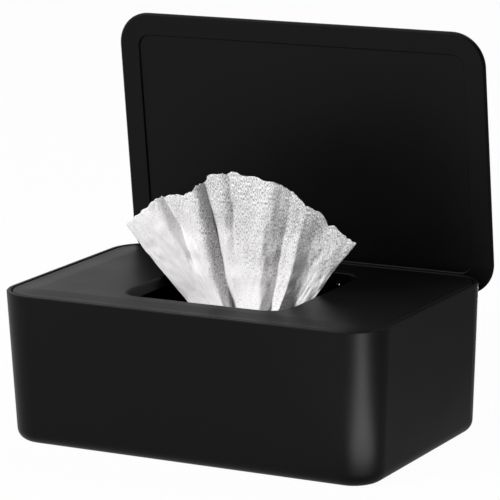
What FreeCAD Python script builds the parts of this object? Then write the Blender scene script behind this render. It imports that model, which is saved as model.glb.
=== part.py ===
import FreeCAD, Part
import math
import os

import Sketcher
from FreeCAD import Placement, Rotation, Vector

# Countertop wipes dispenser: a drafted tub on four soft feet, a lift-out deck with a large rounded
# opening, a lid that swings on a pin at the back, a stack of folded wipes and one pulled-up wipe.
# X runs along the tub, Y runs to the back, Z runs up. The origin is on the table, below the middle
# of the tub. The lid is drawn closed about its hinge axis and then turned to its open rest pose.

# Driving sizes, in millimetres and degrees
SIZES = {
    "tub_length": 190.0,
    "tub_width": 120.8,
    "tub_height": 69.5,
    "tub_corner": 17.5,
    "tub_wall": 2.1,
    "tub_floor": 2.2,
    "draft_angle": 2.6,
    "base_round": 5.9,
    "rim_chamfer": 0.45,
    "floor_chamfer": 2.4,
    "foot_stand": 0.25,
    "foot_radius": 7.0,
    "foot_pocket": 0.5,
    "foot_inset": 30.0,
    "foot_chamfer": 0.3,
    "foot_gap": 0.05,
    "land_inset": 17.0,
    "recess_depth": 0.8,
    "recess_corner": 8.0,
    "ledge_width": 2.6,
    "ledge_height": 3.0,
    "ledge_chamfer": 2.0,
    "deck_gap": 0.35,
    "deck_sink": 0.2,
    "deck_chamfer": 0.6,
    "deck_thickness": 1.8,
    "seat_gap": 0.1,
    "shoulder_inset": 6.5,
    "shoulder_run": 8.0,
    "plateau_rise": 0.5,
    "skirt_gap": 0.4,
    "skirt_wall": 1.5,
    "skirt_depth": 6.0,
    "opening_length": 82.0,
    "opening_width": 79.0,
    "opening_corner": 10.0,
    "lip_wall": 1.8,
    "lip_depth": 5.0,
    "lip_round": 1.0,
    "rib_wall": 1.4,
    "rib_depth": 3.5,
    "rib_along": 22.0,
    "rib_across": 62.0,
    "lid_side_inset": 0.65,
    "lid_front_lip": 1.9,
    "lid_thickness": 3.0,
    "lid_corner_step": 1.7,
    "lid_round": 1.4,
    "lid_chamfer": 0.8,
    "lid_gap": 0.25,
    "panel_inset": 10.4,
    "panel_corner": 6.0,
    "panel_depth": 0.8,
    "panel_chamfer": 0.35,
    "relief_width": 7.8,
    "relief_depth": 0.9,
    "hinge_inset": 3.95,
    "hinge_drop": 7.41,
    "open_angle": 84.8,
    "knuckle_radius": 3.2,
    "leaf_width": 20.0,
    "leaf_thickness": 3.0,
    "leaf_root": 1.0,
    "ear_width": 8.5,
    "ear_round": 0.6,
    "side_gap": 0.3,
    "notch_gap": 0.35,
    "notch_corner": 0.6,
    "pin_radius": 1.5,
    "pin_inset": 0.3,
    "pin_chamfer": 0.3,
    "pin_fit": 0.02,
    "pin_run": 0.06,
    "stack_end_gap": 9.9,
    "stack_side_gap": 7.3,
    "stack_head_gap": 26.5,
    "layer_fold": 1.2,
    "wipe_rise": 50.1,
    "wipe_thickness": 0.7,
    "wipe_shift": 2.5,
    "wipe_setback": 3.0,
    "wipe_gap": 0.3,
    "fan_apex_drop": 45.15,
    "fan_crown_rise": 56.0,
    "fan_depth": 16.0,
    "fold_radius": 0.9,
    "foot_spare": 0.9,
    "overrun": 4.0,
}

# How many folded wipes lie in the stack, which ends at the head gap below the deck
STACK_LAYERS = 13

# Levels and outlines that follow from the driving sizes, as spreadsheet formulas
INSETS = {
    "rim": "0",
    "cavity": "tub_wall",
    "ledge_root": "tub_wall / 2",
    "ledge_hole": "tub_wall + ledge_width",
    "deck": "tub_wall + deck_gap",
    "shoulder": "shoulder_inset",
    "plateau": "shoulder_inset + shoulder_run",
    "skirt": "tub_wall + ledge_width + skirt_gap",
    "skirt_hole": "tub_wall + ledge_width + skirt_gap + skirt_wall",
}
FORMULAS = {
    "rim_level": "foot_stand + tub_height",
    "recess_level": "foot_stand + recess_depth",
    "floor_level": "recess_level + tub_floor",
    "recess_long": "tub_length - 2 * land_inset",
    "recess_wide": "tub_width - 2 * land_inset",
    "recess_radius": "recess_corner",
    "foot_x": "tub_length / 2 - foot_inset",
    "foot_y": "tub_width / 2 - foot_inset",
    "foot_top": "recess_level + foot_pocket",
    "strip_level": "rim_level - deck_sink",
    "under_level": "strip_level - deck_thickness",
    "ledge_level": "under_level - seat_gap",
    "plateau_level": "strip_level + plateau_rise",
    "lip_foot": "plateau_level - lip_depth",
    "opening_long": "opening_length",
    "opening_wide": "opening_width",
    "opening_radius": "opening_corner",
    "lip_long": "opening_length + 2 * lip_wall",
    "lip_wide": "opening_width + 2 * lip_wall",
    "lip_radius": "opening_corner + lip_wall",
    "axis_y": "tub_width / 2 - hinge_inset",
    "axis_level": "rim_level - hinge_drop",
    "bay_front": "axis_y - knuckle_radius - notch_gap",
    "ear_start": "leaf_width / 2 + side_gap",
    "ear_end": "ear_start + ear_width",
    "notch_half": "ear_end + notch_gap",
    "notch_level": "axis_level - knuckle_radius - notch_gap",
    "lid_face": "hinge_drop + lid_gap",
    "lid_back": "lid_face + lid_thickness",
    "lid_long": "tub_length - 2 * lid_side_inset",
    "lid_wide": "tub_width + lid_front_lip",
    "lid_radius": "tub_corner - lid_corner_step",
    "lid_middle": "hinge_inset - lid_wide / 2",
    "panel_long": "lid_long - 2 * panel_inset",
    "panel_wide": "lid_wide - 2 * panel_inset",
    "panel_radius": "panel_corner",
    "draft_run": "(rim_level - floor_level) * tan(draft_angle * 1 deg)",
    "stack_length": "tub_length - 2 * (tub_wall + draft_run + stack_end_gap)",
    "stack_width": "tub_width - 2 * (tub_wall + draft_run + stack_side_gap)",
    "layer_thickness": f"(plateau_level - stack_head_gap - floor_level) / {STACK_LAYERS}",
}

# Pulled-up wipe, a fan whose folds all meet at an apex below the opening. At the crown, as shares of the
# span between its two tips and of its depth: how far each fold lies from the apex, sideways and to the
# back. Then its ragged top edge, as shares of the span and of the rise above the deck.
WIPE_SPAN_SHARE = 1.45
FOLD_SHARES = (
    (-0.820, 0.00), (-0.639, -0.31), (-0.479, 0.50), (-0.343, -0.31), (-0.241, 0.44), (-0.151, -0.25),
    (-0.085, 0.09), (0.038, -0.44), (0.162, 0.38), (0.257, -0.25), (0.365, 0.38), (0.517, -0.31),
    (0.674, 0.06),
)
EDGE_SHARES = (
    (-0.545, 0.440), (-0.466, 0.570), (-0.404, 0.686), (-0.326, 0.746), (-0.242, 0.797), (-0.182, 0.903),
    (-0.129, 0.977), (-0.065, 1.000), (0.027, 0.967), (0.144, 0.917), (0.216, 0.799), (0.310, 0.694),
    (0.331, 0.598), (0.388, 0.532), (0.455, 0.462),
)

# How near two places in the model are to count as the same
NEAR = 0.01

DOC = FreeCAD.newDocument("wipes_dispenser")
SHEET = DOC.addObject("Spreadsheet::Sheet", "sizes")


def fill_sheet():
    """Write the driving sizes as plain numbers and then the formulas that follow from them."""
    cells = {name: str(number) for name, number in SIZES.items()}
    cells.update({name: f"={formula}" for name, formula in FORMULAS.items()})
    for name, inset in INSETS.items():
        cells[f"{name}_long"] = f"=tub_length - 2 * ({inset})"
        cells[f"{name}_wide"] = f"=tub_width - 2 * ({inset})"
        cells[f"{name}_radius"] = f"=tub_corner - ({inset})"
    for row, (name, content) in enumerate(cells.items(), start=1):
        SHEET.set(f"A{row}", content)
        SHEET.setAlias(f"A{row}", name)
    DOC.recompute()


def size(name):
    """The number that the sheet holds under this alias."""
    return float(SHEET.get(name))


# Sketches

def new_body(label):
    body = DOC.addObject("PartDesign::Body", label)
    body.Label = label
    return body


def plane_of(body, role):
    return next(plane for plane in body.Origin.OriginFeatures if plane.Role == role)


def new_sketch(body, name, role="XY_Plane", lift="0", shift="0"):
    """A sketch on one of the body's own planes, lifted along its normal and shifted along its y axis."""
    sketch = body.newObject("Sketcher::SketchObject", name)
    sketch.AttachmentSupport = (plane_of(body, role), [""])
    sketch.MapMode = "FlatFace"
    sketch.setExpression("AttachmentOffset.Base.z", lift)
    sketch.setExpression("AttachmentOffset.Base.y", shift)
    DOC.recompute()
    return sketch


def bind(sketch, kind, where, number, formula):
    """Add one dimension to a sketch and tie it to the sheet."""
    index = sketch.addConstraint(Sketcher.Constraint(kind, *where, number))
    sketch.setExpression(f"Constraints[{index}]", formula)


def rounded_rectangle(sketch, stem):
    """Four lines and four quarter arcs about the sketch's origin, sized by stem_long, _wide and _radius."""
    half_x, half_y, radius = size(f"{stem}_long") / 2, size(f"{stem}_wide") / 2, size(f"{stem}_radius")
    in_x, in_y = half_x - radius, half_y - radius
    sides = (
        (Vector(-in_x, -half_y), Vector(in_x, -half_y)), (Vector(half_x, -in_y), Vector(half_x, in_y)),
        (Vector(in_x, half_y), Vector(-in_x, half_y)), (Vector(-half_x, in_y), Vector(-half_x, -in_y)),
    )
    centres = (Vector(in_x, -in_y), Vector(in_x, in_y), Vector(-in_x, in_y), Vector(-in_x, -in_y))
    quarter = math.pi / 2
    first = sketch.GeometryCount
    for start, end in sides:
        sketch.addGeometry(Part.LineSegment(start, end))
    for turn, centre in enumerate(centres):
        circle = Part.Circle(centre, Vector(0, 0, 1), radius)
        sketch.addGeometry(Part.ArcOfCircle(circle, (turn - 1) * quarter, turn * quarter))
    lines = [first + turn for turn in range(4)]
    arcs = [first + 4 + turn for turn in range(4)]
    for turn in range(4):
        sketch.addConstraint(Sketcher.Constraint("Tangent", lines[turn], 2, arcs[turn], 1))
        sketch.addConstraint(Sketcher.Constraint("Tangent", arcs[turn], 2, lines[(turn + 1) % 4], 1))
        sketch.addConstraint(Sketcher.Constraint("Vertical" if turn % 2 else "Horizontal", lines[turn]))
    for arc in arcs[1:]:
        sketch.addConstraint(Sketcher.Constraint("Equal", arcs[0], arc))
    sketch.addConstraint(Sketcher.Constraint("Symmetric", lines[0], 1, lines[2], 1, -1, 1))
    bind(sketch, "DistanceX", (lines[3], 1, lines[1], 1), 2 * half_x, f"sizes.{stem}_long")
    bind(sketch, "DistanceY", (lines[0], 1, lines[2], 2), 2 * half_y, f"sizes.{stem}_wide")
    bind(sketch, "Radius", (arcs[0],), radius, f"sizes.{stem}_radius")


def place_point(sketch, curve, end, number_x, formula_x, number_y, formula_y):
    """Tie one point of a curve to two signed distances from the sketch's origin."""
    for kind, number, formula in (("DistanceX", number_x, formula_x), ("DistanceY", number_y, formula_y)):
        if number < 0:
            bind(sketch, kind, (curve, end, -1, 1), -number, f"-({formula})")
        else:
            bind(sketch, kind, (-1, 1, curve, end), number, formula)


def rectangle(sketch, left, right, low, high):
    """Four lines between two opposite corners; each side is a pair of its number and its formula."""
    corners = [Vector(x[0], y[0]) for x, y in ((left, low), (right, low), (right, high), (left, high))]
    first = sketch.GeometryCount
    for turn in range(4):
        sketch.addGeometry(Part.LineSegment(corners[turn], corners[(turn + 1) % 4]))
    for turn in range(4):
        line, after = first + turn, first + (turn + 1) % 4
        sketch.addConstraint(Sketcher.Constraint("Coincident", line, 2, after, 1))
        sketch.addConstraint(Sketcher.Constraint("Vertical" if turn % 2 else "Horizontal", line))
    place_point(sketch, first, 1, *left, *low)
    place_point(sketch, first + 2, 1, *right, *high)


def circle(sketch, number_x, formula_x, number_y, formula_y, radius, radius_formula):
    """One circle whose centre and radius follow the sheet."""
    centre = Vector(number_x, number_y)
    index = sketch.addGeometry(Part.Circle(centre, Vector(0, 0, 1), radius))
    place_point(sketch, index, 3, number_x, formula_x, number_y, formula_y)
    bind(sketch, "Radius", (index,), radius, radius_formula)


# Features

def pad(body, name, sketch, length, downward=False, symmetric=False, taper=None):
    return extrusion(body, "PartDesign::Pad", name, sketch, length, downward, symmetric, taper)


def pocket(body, name, sketch, length, upward=False, symmetric=False, taper=None):
    return extrusion(body, "PartDesign::Pocket", name, sketch, length, upward, symmetric, taper)


def extrusion(body, kind, name, sketch, length, reverse, symmetric, taper):
    """A pad along its sketch's normal or a pocket against it, or both the other way round when reversed."""
    feature = body.newObject(kind, name)
    feature.Profile = sketch
    feature.Reversed = reverse
    if symmetric:
        feature.SideType = "Symmetric"
    feature.setExpression("Length", length)
    if taper:
        feature.setExpression("TaperAngle", taper)
    DOC.recompute()
    return feature


def round_edges(body, name, base, edges, radius, kind="PartDesign::Fillet"):
    """Fillet or chamfer the named edges of the last feature."""
    feature = body.newObject(kind, name)
    feature.Base = (base, edges)
    feature.setExpression("Radius" if kind.endswith("Fillet") else "Size", radius)
    DOC.recompute()
    return feature


def level_edges(feature, level, half_x=math.inf, half_y=math.inf):
    """Names of the edges at a level that lie within a half length and a half width."""
    names = []
    for number, edge in enumerate(feature.Shape.Edges, start=1):
        ends = [vertex.Point for vertex in edge.Vertexes]
        flat = all(abs(point.z - level) < NEAR for point in [*ends, edge.CenterOfMass])
        within = all(abs(point.x) < half_x + NEAR and abs(point.y) < half_y + NEAR for point in ends)
        if flat and within:
            names.append(f"Edge{number}")
    return names


def line_edges(feature, test):
    """Names of the edges whose two ends and middle all pass the test."""
    names = []
    for number, edge in enumerate(feature.Shape.Edges, start=1):
        points = [vertex.Point for vertex in edge.Vertexes] + [edge.CenterOfMass]
        if all(test(point) for point in points):
            names.append(f"Edge{number}")
    return names


def signed(name, sign=1):
    """A size as the pair of number and formula that the sketch helpers take."""
    return sign * size(name), f"sizes.{name}" if sign > 0 else f"-sizes.{name}"


# Tub

def make_tub():
    """Thin drafted shell with a soft base edge, a ledge for the deck, a hinge notch and a foot recess."""
    body = new_body("tub")
    sketch = new_sketch(body, "TubRim", lift="sizes.rim_level")
    rounded_rectangle(sketch, "rim")
    step = pad(body, "TubBlock", sketch, "sizes.tub_height", downward=True, taper="-sizes.draft_angle")
    step = round_edges(body, "BaseRound", step, level_edges(step, size("foot_stand")), "sizes.base_round")

    sketch = new_sketch(body, "CavityOutline", lift="sizes.rim_level")
    rounded_rectangle(sketch, "cavity")
    depth = "sizes.rim_level - sizes.floor_level"
    step = pocket(body, "Cavity", sketch, depth, taper="-sizes.draft_angle")
    inner = level_edges(step, size("floor_level"))
    step = round_edges(body, "FloorChamfer", step, inner, "sizes.floor_chamfer", "PartDesign::Chamfer")

    sketch = new_sketch(body, "LedgeOutline", lift="sizes.ledge_level")
    rounded_rectangle(sketch, "ledge_root")
    rounded_rectangle(sketch, "ledge_hole")
    step = pad(body, "Ledge", sketch, "sizes.ledge_height", downward=True)
    half_x, half_y = size("ledge_hole_long") / 2, size("ledge_hole_wide") / 2
    under = level_edges(step, size("ledge_level") - size("ledge_height"), half_x, half_y)
    step = round_edges(body, "LedgeChamfer", step, under, "sizes.ledge_chamfer", "PartDesign::Chamfer")
    rim = level_edges(step, size("rim_level"))
    step = round_edges(body, "RimChamfer", step, rim, "sizes.rim_chamfer", "PartDesign::Chamfer")

    sketch = new_sketch(body, "NotchOutline", "XZ_Plane", "-sizes.bay_front")
    top = size("rim_level") + size("overrun"), "sizes.rim_level + sizes.overrun"
    rectangle(sketch, signed("notch_half", -1), signed("notch_half"), signed("notch_level"), top)
    through = "sizes.tub_width / 2 - sizes.bay_front + sizes.overrun"
    step = pocket(body, "HingeNotch", sketch, through)
    corners = line_edges(step, lambda point: abs(point.z - size("notch_level")) < NEAR
                         and abs(abs(point.x) - size("notch_half")) < NEAR)
    step = round_edges(body, "NotchRound", step, corners, "sizes.notch_corner")

    sketch = new_sketch(body, "RecessOutline", lift="sizes.foot_stand")
    rounded_rectangle(sketch, "recess")
    pocket(body, "UndersideRecess", sketch, "sizes.recess_depth", upward=True)

    sketch = new_sketch(body, "FootPocketOutline", lift="sizes.recess_level")
    radius = size("foot_radius") + size("foot_gap")
    for sign_x in (-1, 1):
        for sign_y in (-1, 1):
            circle(sketch, *signed("foot_x", sign_x), *signed("foot_y", sign_y), radius,
                   "sizes.foot_radius + sizes.foot_gap")
    pocket(body, "FootPockets", sketch, "sizes.foot_pocket", upward=True)
    return body


# Feet

def make_foot(label, sign_x, sign_y):
    """One soft disc that stands in its pocket and reaches the table."""
    body = new_body(label)
    sketch = new_sketch(body, f"{label}_outline")
    circle(sketch, 0, "0", 0, "0", size("foot_radius"), "sizes.foot_radius")
    step = pad(body, f"{label}_disc", sketch, "sizes.foot_top")
    edge = level_edges(step, 0)
    round_edges(body, f"{label}_edge", step, edge, "sizes.foot_chamfer", "PartDesign::Chamfer")
    body.setExpression("Placement.Base.x", signed("foot_x", sign_x)[1])
    body.setExpression("Placement.Base.y", signed("foot_y", sign_y)[1])
    return body


# Deck

def rib_sides(name, sign):
    """The two long sides of a rib whose middle lies at a size's distance from the centre."""
    offset, formula = signed(name, sign)
    half, half_formula = size("rib_wall") / 2, "sizes.rib_wall / 2"
    return (offset - half, f"{formula} - {half_formula}"), (offset + half, f"{formula} + {half_formula}")


def rib_reach(name):
    """The two ends of a rib that runs from the middle of one skirt wall to that of the other."""
    reach, formula = (size(name) - size("skirt_wall")) / 2, f"(sizes.{name} - sizes.skirt_wall) / 2"
    return (-reach, f"-{formula}"), (reach, formula)


def deck_plate(body):
    """Flat flange with a low plateau, a locating skirt and stiffening ribs underneath."""
    sketch = new_sketch(body, "DeckOutline", lift="sizes.strip_level")
    rounded_rectangle(sketch, "deck")
    step = pad(body, "Flange", sketch, "sizes.deck_thickness", downward=True)
    outer = level_edges(step, size("strip_level"))
    round_edges(body, "FlangeChamfer", step, outer, "sizes.deck_chamfer", "PartDesign::Chamfer")

    low = new_sketch(body, "ShoulderFoot", lift="sizes.strip_level")
    rounded_rectangle(low, "shoulder")
    high = new_sketch(body, "ShoulderTop", lift="sizes.plateau_level")
    rounded_rectangle(high, "plateau")
    plateau = body.newObject("PartDesign::AdditiveLoft", "Plateau")
    plateau.Profile = low
    plateau.Sections = [high]
    plateau.Ruled = True
    DOC.recompute()

    sketch = new_sketch(body, "SkirtOutline", lift="sizes.under_level")
    rounded_rectangle(sketch, "skirt")
    rounded_rectangle(sketch, "skirt_hole")
    pad(body, "Skirt", sketch, "sizes.skirt_depth", downward=True)

    along = new_sketch(body, "RibsAlongOutline", lift="sizes.under_level")
    across = new_sketch(body, "RibsAcrossOutline", lift="sizes.under_level")
    for sign in (-1, 1):
        rectangle(along, *rib_reach("skirt_long"), *rib_sides("rib_along", sign))
        rectangle(across, *rib_sides("rib_across", sign), *rib_reach("skirt_wide"))
    pad(body, "RibsAlong", along, "sizes.rib_depth", downward=True)
    return pad(body, "RibsAcross", across, "sizes.rib_depth", downward=True)


def deck_opening(body):
    """Rounded opening through the plate, with a turned-down lip and a soft top edge."""
    sketch = new_sketch(body, "LipOutline", lift="sizes.lip_foot")
    rounded_rectangle(sketch, "lip")
    pad(body, "Lip", sketch, "sizes.lip_depth - sizes.plateau_rise - sizes.deck_thickness / 2")
    sketch = new_sketch(body, "OpeningOutline", lift="sizes.plateau_level")
    rounded_rectangle(sketch, "opening")
    step = pocket(body, "Opening", sketch, "sizes.lip_depth + sizes.rib_depth + sizes.overrun")
    edge = level_edges(step, size("plateau_level"), size("opening_long") / 2, size("opening_wide") / 2)
    return round_edges(body, "OpeningRound", step, edge, "sizes.lip_round")


def deck_hinge(body):
    """Bay for the lid's leaf, with an ear on each side of it and one bore for the pin."""
    sketch = new_sketch(body, "BayOutline", lift="sizes.plateau_level")
    rear = size("tub_width") / 2 + size("overrun"), "sizes.tub_width / 2 + sizes.overrun"
    rectangle(sketch, signed("ear_start", -1), signed("ear_start"), signed("bay_front"), rear)
    pocket(body, "HingeBay", sketch, "sizes.skirt_depth + sizes.deck_thickness + sizes.overrun")

    sketch = new_sketch(body, "EarOutline", "YZ_Plane", "sizes.ear_start")
    axis_y, axis_z, radius = size("axis_y"), size("axis_level"), size("knuckle_radius")
    top = size("strip_level")
    front, back = axis_y - radius, axis_y + radius
    sketch.addGeometry(Part.LineSegment(Vector(front, axis_z), Vector(front, top)))
    sketch.addGeometry(Part.LineSegment(Vector(front, top), Vector(back, top)))
    sketch.addGeometry(Part.LineSegment(Vector(back, top), Vector(back, axis_z)))
    half_round = Part.Circle(Vector(axis_y, axis_z), Vector(0, 0, 1), radius)
    sketch.addGeometry(Part.ArcOfCircle(half_round, math.pi, 2 * math.pi))
    sketch.addConstraint(Sketcher.Constraint("Coincident", 0, 2, 1, 1))
    sketch.addConstraint(Sketcher.Constraint("Coincident", 1, 2, 2, 1))
    sketch.addConstraint(Sketcher.Constraint("Tangent", 2, 2, 3, 2))
    sketch.addConstraint(Sketcher.Constraint("Tangent", 3, 1, 0, 1))
    sketch.addConstraint(Sketcher.Constraint("Horizontal", 1))
    sketch.addConstraint(Sketcher.Constraint("Vertical", 0))
    sketch.addConstraint(Sketcher.Constraint("Vertical", 2))
    place_point(sketch, 3, 3, axis_y, "sizes.axis_y", axis_z, "sizes.axis_level")
    bind(sketch, "Radius", (3,), radius, "sizes.knuckle_radius")
    bind(sketch, "DistanceY", (-1, 1, 0, 2), top, "sizes.strip_level")
    ear = pad(body, "Ear", sketch, "sizes.ear_width")
    pair = body.newObject("PartDesign::Mirrored", "EarPair")
    pair.Originals = [ear]
    pair.MirrorPlane = (plane_of(body, "YZ_Plane"), [""])
    body.Tip = pair
    DOC.recompute()

    ridge = line_edges(pair, lambda point: abs(point.z - top) < NEAR and abs(point.y - back) < NEAR)
    round_edges(body, "EarRound", pair, ridge, "sizes.ear_round")
    sketch = new_sketch(body, "EarBoreOutline", "YZ_Plane")
    circle(sketch, axis_y, "sizes.axis_y", axis_z, "sizes.axis_level",
           size("pin_radius") + size("pin_fit"), "sizes.pin_radius + sizes.pin_fit")
    pocket(body, "EarBore", sketch, "2 * (sizes.ear_end + sizes.overrun)", symmetric=True)


def make_deck():
    """Lift-out inner cover that carries the hinge."""
    body = new_body("deck")
    deck_plate(body)
    deck_opening(body)
    deck_hinge(body)
    return body


# Lid

def make_lid():
    """Thin lid with soft edges, a sunk inner panel, a relief along its back edge and a hinge leaf."""
    body = new_body("lid")
    sketch = new_sketch(body, "LidOutline", lift="sizes.lid_face", shift="sizes.lid_middle")
    rounded_rectangle(sketch, "lid")
    step = pad(body, "LidPlate", sketch, "sizes.lid_thickness")
    step = round_edges(body, "LidRound", step, level_edges(step, size("lid_back")), "sizes.lid_round")
    edges = level_edges(step, size("lid_face"))
    round_edges(body, "LidChamfer", step, edges, "sizes.lid_chamfer", "PartDesign::Chamfer")

    sketch = new_sketch(body, "PanelOutline", lift="sizes.lid_face", shift="sizes.lid_middle")
    rounded_rectangle(sketch, "panel")
    step = pocket(body, "PanelRecess", sketch, "sizes.panel_depth", upward=True)
    middle = size("lid_middle")
    half_x, half_y = size("panel_long") / 2 + NEAR, size("panel_wide") / 2 + NEAR
    loop = line_edges(step, lambda point: abs(point.z - size("lid_face")) < NEAR
                      and abs(point.x) < half_x and abs(point.y - middle) < half_y)
    round_edges(body, "PanelChamfer", step, loop, "sizes.panel_chamfer", "PartDesign::Chamfer")

    sketch = new_sketch(body, "ReliefOutline", lift="sizes.lid_face")
    half = size("lid_long") / 2 + size("overrun"), "sizes.lid_long / 2 + sizes.overrun"
    start = size("hinge_inset") - size("relief_width"), "sizes.hinge_inset - sizes.relief_width"
    end = size("hinge_inset") + size("overrun"), "sizes.hinge_inset + sizes.overrun"
    rectangle(sketch, (-half[0], f"-({half[1]})"), half, start, end)
    pocket(body, "RearRelief", sketch, "sizes.relief_depth", upward=True)

    sketch = new_sketch(body, "LeafOutline", "YZ_Plane")
    half = size("leaf_thickness") / 2
    top = size("lid_face") + size("lid_thickness") / 2, "sizes.lid_face + sizes.lid_thickness / 2"
    rectangle(sketch, (-half, "-sizes.leaf_thickness / 2"), (half, "sizes.leaf_thickness / 2"), (0, "0"), top)
    step = pad(body, "Leaf", sketch, "sizes.leaf_width", symmetric=True)
    root_level = size("lid_face") + size("relief_depth")
    root = line_edges(step, lambda point: abs(point.z - root_level) < NEAR
                      and abs(abs(point.y) - half) < NEAR and abs(point.x) < size("leaf_width") / 2 + NEAR)
    round_edges(body, "LeafRoot", step, root, "sizes.leaf_root")

    sketch = new_sketch(body, "KnuckleOutline", "YZ_Plane")
    circle(sketch, 0, "0", 0, "0", size("knuckle_radius"), "sizes.knuckle_radius")
    pad(body, "Knuckle", sketch, "sizes.leaf_width", symmetric=True)
    sketch = new_sketch(body, "KnuckleBoreOutline", "YZ_Plane")
    circle(sketch, 0, "0", 0, "0", size("pin_radius") + size("pin_run"), "sizes.pin_radius + sizes.pin_run")
    pocket(body, "KnuckleBore", sketch, "sizes.leaf_width + sizes.overrun", symmetric=True)

    body.Placement = Placement(Vector(0, 0, 0), Rotation(Vector(-1, 0, 0), size("open_angle")))
    body.setExpression("Placement.Base.y", "sizes.axis_y")
    body.setExpression("Placement.Base.z", "sizes.axis_level")
    body.setExpression("Placement.Rotation.Angle", "sizes.open_angle")
    return body


# Hinge pin

def make_pin():
    """Plain steel pin with chamfered ends, pushed through both ears and the lid's knuckle."""
    body = new_body("hinge_pin")
    sketch = new_sketch(body, "PinOutline", "YZ_Plane")
    circle(sketch, 0, "0", 0, "0", size("pin_radius"), "sizes.pin_radius")
    step = pad(body, "PinRod", sketch, "2 * (sizes.ear_end - sizes.pin_inset)", symmetric=True)
    end = size("ear_end") - size("pin_inset")
    ends = line_edges(step, lambda point: abs(abs(point.x) - end) < NEAR)
    round_edges(body, "PinEnds", step, ends, "sizes.pin_chamfer", "PartDesign::Chamfer")
    body.setExpression("Placement.Base.y", "sizes.axis_y")
    body.setExpression("Placement.Base.z", "sizes.axis_level")
    return body


# Folded wipes

def folded_layer(level, fold_side):
    """One folded wipe: a flat slab whose folded long edge is round and whose open long edge is square."""
    half_x, half_y = size("stack_length") / 2, size("stack_width") / 2
    thick, fold = size("layer_thickness"), size("layer_fold")
    side = fold_side * half_y
    inner = side - fold_side * fold
    low, high = level, level + thick
    corners = [Vector(-half_x, -side, low), Vector(-half_x, inner, low), Vector(-half_x, inner, high),
               Vector(-half_x, -side, high)]
    nose = Vector(-half_x, side, (low + high) / 2)
    profile = Part.Wire([
        Part.LineSegment(corners[0], corners[1]).toShape(),
        Part.Arc(corners[1], nose, corners[2]).toShape(),
        Part.LineSegment(corners[2], corners[3]).toShape(),
        Part.LineSegment(corners[3], corners[0]).toShape(),
    ])
    return Part.Face(profile).extrude(Vector(2 * half_x, 0, 0))


def make_stack():
    """The refill: folded wipes laid on each other, with the folds at the front and back by turns."""
    thick = size("layer_thickness")
    layers = [folded_layer(size("floor_level") + thick * place, 1 if place % 2 else -1)
              for place in range(STACK_LAYERS)]
    stack = DOC.addObject("Part::Feature", "wipe_stack")
    stack.Label = "wipe_stack"
    stack.Shape = layers[0].multiFuse(layers[1:]).removeSplitter()
    stack.Placement = Placement()
    return stack


# Pulled-up wipe

def strip(left, right, reach):
    """Flat face between two lines, each a start and a direction, from a near to a far distance along them."""
    near, far = reach
    path = [left[0] + left[1] * near, left[0] + left[1] * far,
            right[0] + right[1] * far, right[0] + right[1] * near]
    return Part.Face(Part.makePolygon([*path, path[0]]))


def flank(left, right, normal, reach):
    """Flat stretch of cloth between two lines, with half its thickness on each side of them."""
    half = normal * (size("wipe_thickness") / 2)
    return strip(left, right, reach).translated(-half).extrude(half * 2)


def pleated_fan(apex, reach):
    """Flat flanks aimed at the apex, each joined to the next by a round fold of one radius."""
    crown = size("fan_apex_drop") + size("fan_crown_rise")
    across, deep = size("opening_length") * WIPE_SPAN_SHARE, size("fan_depth")
    rays = [Vector(across * side, deep * back, crown).normalize() for side, back in FOLD_SHARES]
    normals = [left.cross(right).normalize() for left, right in zip(rays, rays[1:])]
    radius = size("fold_radius")
    pieces, start = [], (apex, rays[0])
    for ray, before, after in zip(rays[1:], normals, normals[1:]):
        sense = 1 if before.cross(after).dot(ray) > 0 else -1
        turn = before.getAngle(after)
        centre = apex + (before + after).normalize() * sense * (radius / math.cos(turn / 2))
        end = centre - before * sense * radius, ray
        pieces.append(flank(start, end, before, reach))
        half = before * (size("wipe_thickness") / 2)
        side = strip((end[0] - half, ray), (end[0] + half, ray), reach)
        pieces.append(side.revolve(centre, ray * sense, math.degrees(turn)))
        start = centre - after * sense * radius, ray
    pieces.append(flank(start, (apex, rays[-1]), normals[-1], reach))
    return pieces[0].multiFuse(pieces[1:]).removeSplitter()


def fan_outline(foot_level):
    """Upright prism through the whole depth of the pleats, from the foot to the wipe's ragged top edge."""
    span, middle = size("opening_length") * WIPE_SPAN_SHARE, size("wipe_shift")
    deck_top, rise = size("plateau_level"), size("wipe_rise")
    near, reach = size("wipe_setback") - size("fan_depth"), size("tub_length") / 2
    top = [Vector(middle + span * along, near, deck_top + rise * high) for along, high in EDGE_SHARES]
    corners = [Vector(-reach, near, top[0].z), *top, Vector(reach, near, top[-1].z),
               Vector(reach, near, foot_level), Vector(-reach, near, foot_level)]
    face = Part.Face(Part.makePolygon([*corners, corners[0]]))
    return face.extrude(Vector(0, 2 * size("fan_depth"), 0))


def make_wipe():
    """Fan of pleats that rises from the stack, through the opening, to a ragged edge above it."""
    foot_level = size("floor_level") + STACK_LAYERS * size("layer_thickness") + size("wipe_gap")
    apex = Vector(size("wipe_shift"), size("wipe_setback"), size("plateau_level") - size("fan_apex_drop"))
    reach = foot_level - apex.z - size("foot_spare"), size("fan_apex_drop") + size("fan_crown_rise")
    wipe = DOC.addObject("Part::Feature", "wipe")
    wipe.Label = "wipe"
    wipe.Shape = pleated_fan(apex, reach).common(fan_outline(foot_level))
    wipe.Placement = Placement()
    return wipe


# Build and write

def check(parts):
    """Stop on a failed object or on a sub-part that is missing, empty or not valid."""
    for item in DOC.Objects:
        if {"Invalid", "Error"} & set(item.State):
            raise RuntimeError(f"{item.Name} is {item.State}")
    for item in parts:
        if item.Shape.isNull() or not item.Shape.isValid() or item.Shape.Volume <= 0:
            raise RuntimeError(f"{item.Label} has no valid shape")


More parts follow.
